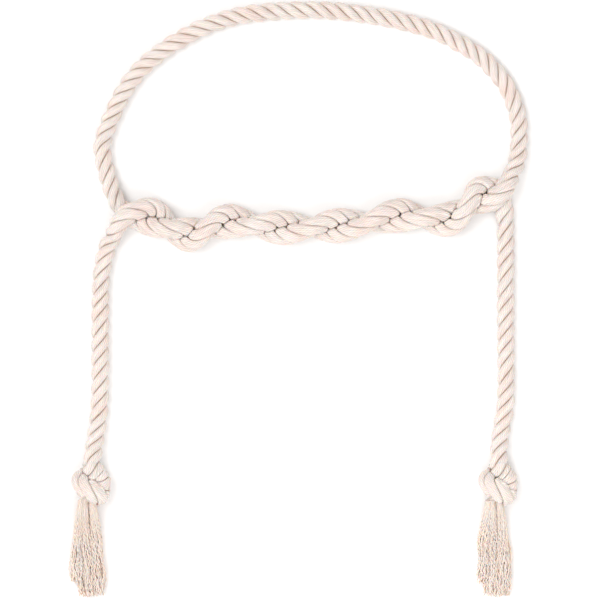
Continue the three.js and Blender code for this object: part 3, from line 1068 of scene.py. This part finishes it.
def yarn_tube(centre, diameter, offset, inside):
    """One round yarn along a line. Its place carries the way along it and round it for the ply texture."""
    tangent = unit(np.gradient(centre, axis=0))
    normal = unit(np.array([0.0, 0.0, 1.0]) - tangent * tangent[:, 2:])
    side = np.cross(tangent, normal)
    at = np.concatenate([[0], np.cumsum(np.linalg.norm(np.diff(centre, axis=0), axis=1))])
    spot = np.arange(YARN_SIDES) / YARN_SIDES * 2 * math.pi
    end = np.clip((at[-1] - at) / YARN_TAPER, 0, 1)
    radius = (diameter / 2 * (YARN_TIP + (1 - YARN_TIP) * np.sqrt(end)))[:, None]
    points = centre[:, None] + radius[..., None] * (
        np.cos(spot)[None, :, None] * normal[:, None] + np.sin(spot)[None, :, None] * side[:, None])
    place = (at[:, None] + offset, np.cos(spot), np.sin(spot))
    # Painted shade, darker for yarns further inside their strand
    painted_shade = max(0.0, inside) ** INNER_YARN_SHADE_POWER
    return {"points": points, **yarn_attributes(points.shape[:2], place, spot, 1.0, painted_shade)}


class BELT_OT_tassels(bpy.types.Operator):
    """Frays the rope ends below the knots"""

    bl_idname = "belt.tassels"
    bl_label = "Tassels"

    def execute(self, context):
        seed = settings()[1].seed
        for name, end, inward, own_seed, solid in (
                ("left_frayed_end", 0, 1, seed, "left_tassel"),
                ("right_frayed_end", route.starts["end"], -1, seed + 1, "right_tassel")):
            piece = tube_mesh(name, FrayedEnd(end, inward, own_seed).tubes())
            finish_piece(piece, "frayed_yarn", frayed_material(), solid)
        return {"FINISHED"}


class BELT_OT_declare_tails(bpy.types.Operator):
    """Looks up a point on the route for each tail, and does nothing with it"""

    bl_idname = "belt.declare_tails"
    bl_label = "Tails as ropes"

    def execute(self, context):
        declare_cord("left_run", "left_knot_end")
        declare_cord("right_tail", "right_knot")
        return {"FINISHED"}


def declare_cord(first, last):
    """Looks up the first point of a stretch on the route, and does nothing with it."""
    a, b = route.starts[first], route.starts[last]
    tuple(route.line[a])


class BELT_PT_panel(bpy.types.Panel):
    """Lists the steps that build the belt"""

    bl_idname = "BELT_PT_panel"
    bl_label = "Rope Belt"
    bl_space_type = "VIEW_3D"
    bl_region_type = "UI"
    bl_category = "Rope Belt"

    def draw(self, context):
        for group in (context.scene.belt_rope, context.scene.belt_tassel, context.scene.belt_colour):
            box = self.layout.box()
            for key in group.__annotations__:
                box.prop(group, key)
        for step in STEPS:
            self.layout.operator(step.bl_idname)


STEPS = (
    BELT_OT_stage,
    BELT_OT_waist_loop,
    BELT_OT_front_runs,
    BELT_OT_tails,
    BELT_OT_knots,
    BELT_OT_tassels,
    BELT_OT_declare_tails,
)
CLASSES = (BELT_PG_rope, BELT_PG_tassel, BELT_PG_colour, *STEPS, BELT_PT_panel)


def register():
    """Makes the settings, the steps and the panel known."""
    for cls in CLASSES:
        bpy.utils.register_class(cls)
    bpy.types.Scene.belt_rope = PointerProperty(type=BELT_PG_rope)
    bpy.types.Scene.belt_tassel = PointerProperty(type=BELT_PG_tassel)
    bpy.types.Scene.belt_colour = PointerProperty(type=BELT_PG_colour)


def unregister():
    """Takes them away again."""
    del bpy.types.Scene.belt_rope
    del bpy.types.Scene.belt_tassel
    del bpy.types.Scene.belt_colour
    for cls in reversed(CLASSES):
        bpy.utils.unregister_class(cls)


def main():
    """Builds the belt step by step."""
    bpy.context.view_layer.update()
    register()
    for step in STEPS:
        space, name = step.bl_idname.split(".")
        getattr(getattr(bpy.ops, space), name)()


if __name__ == "__main__":
    main()
